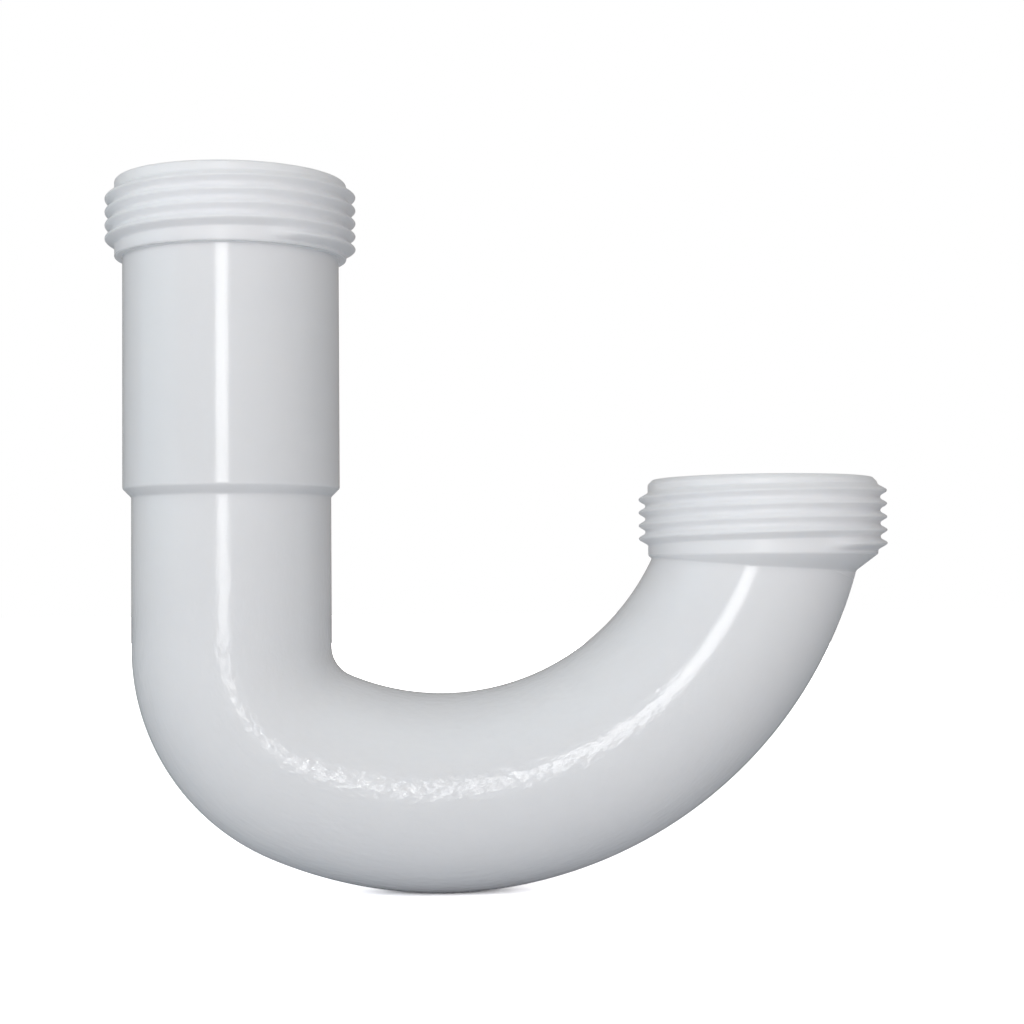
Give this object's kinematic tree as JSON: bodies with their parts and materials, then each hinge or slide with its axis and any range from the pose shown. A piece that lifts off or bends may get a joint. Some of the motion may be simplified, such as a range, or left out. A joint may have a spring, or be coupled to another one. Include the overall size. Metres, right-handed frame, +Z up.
{
  "type": "trap j-bend",
  "caption": "White moulded trap J-bend: a long slip-socket inlet leg, a tight elbow and a sweeping arc up to the outlet, with a right-hand thread on each mouth.",
  "frame": {"origin": "middle of the inlet's rim, on the axis of the inlet leg", "axes": "+Z up along the inlet leg and out of its mouth, +X from the inlet leg to the outlet, the bend in the XZ plane"},
  "size_m": [0.1508, 0.048, 0.1368],
  "materials": {
    "white_plastic": "white moulded polypropylene with a soft gloss"
  },
  "bodies": {
    "root": {"j_bend": "white_plastic"}
  },
  "joints": []
}
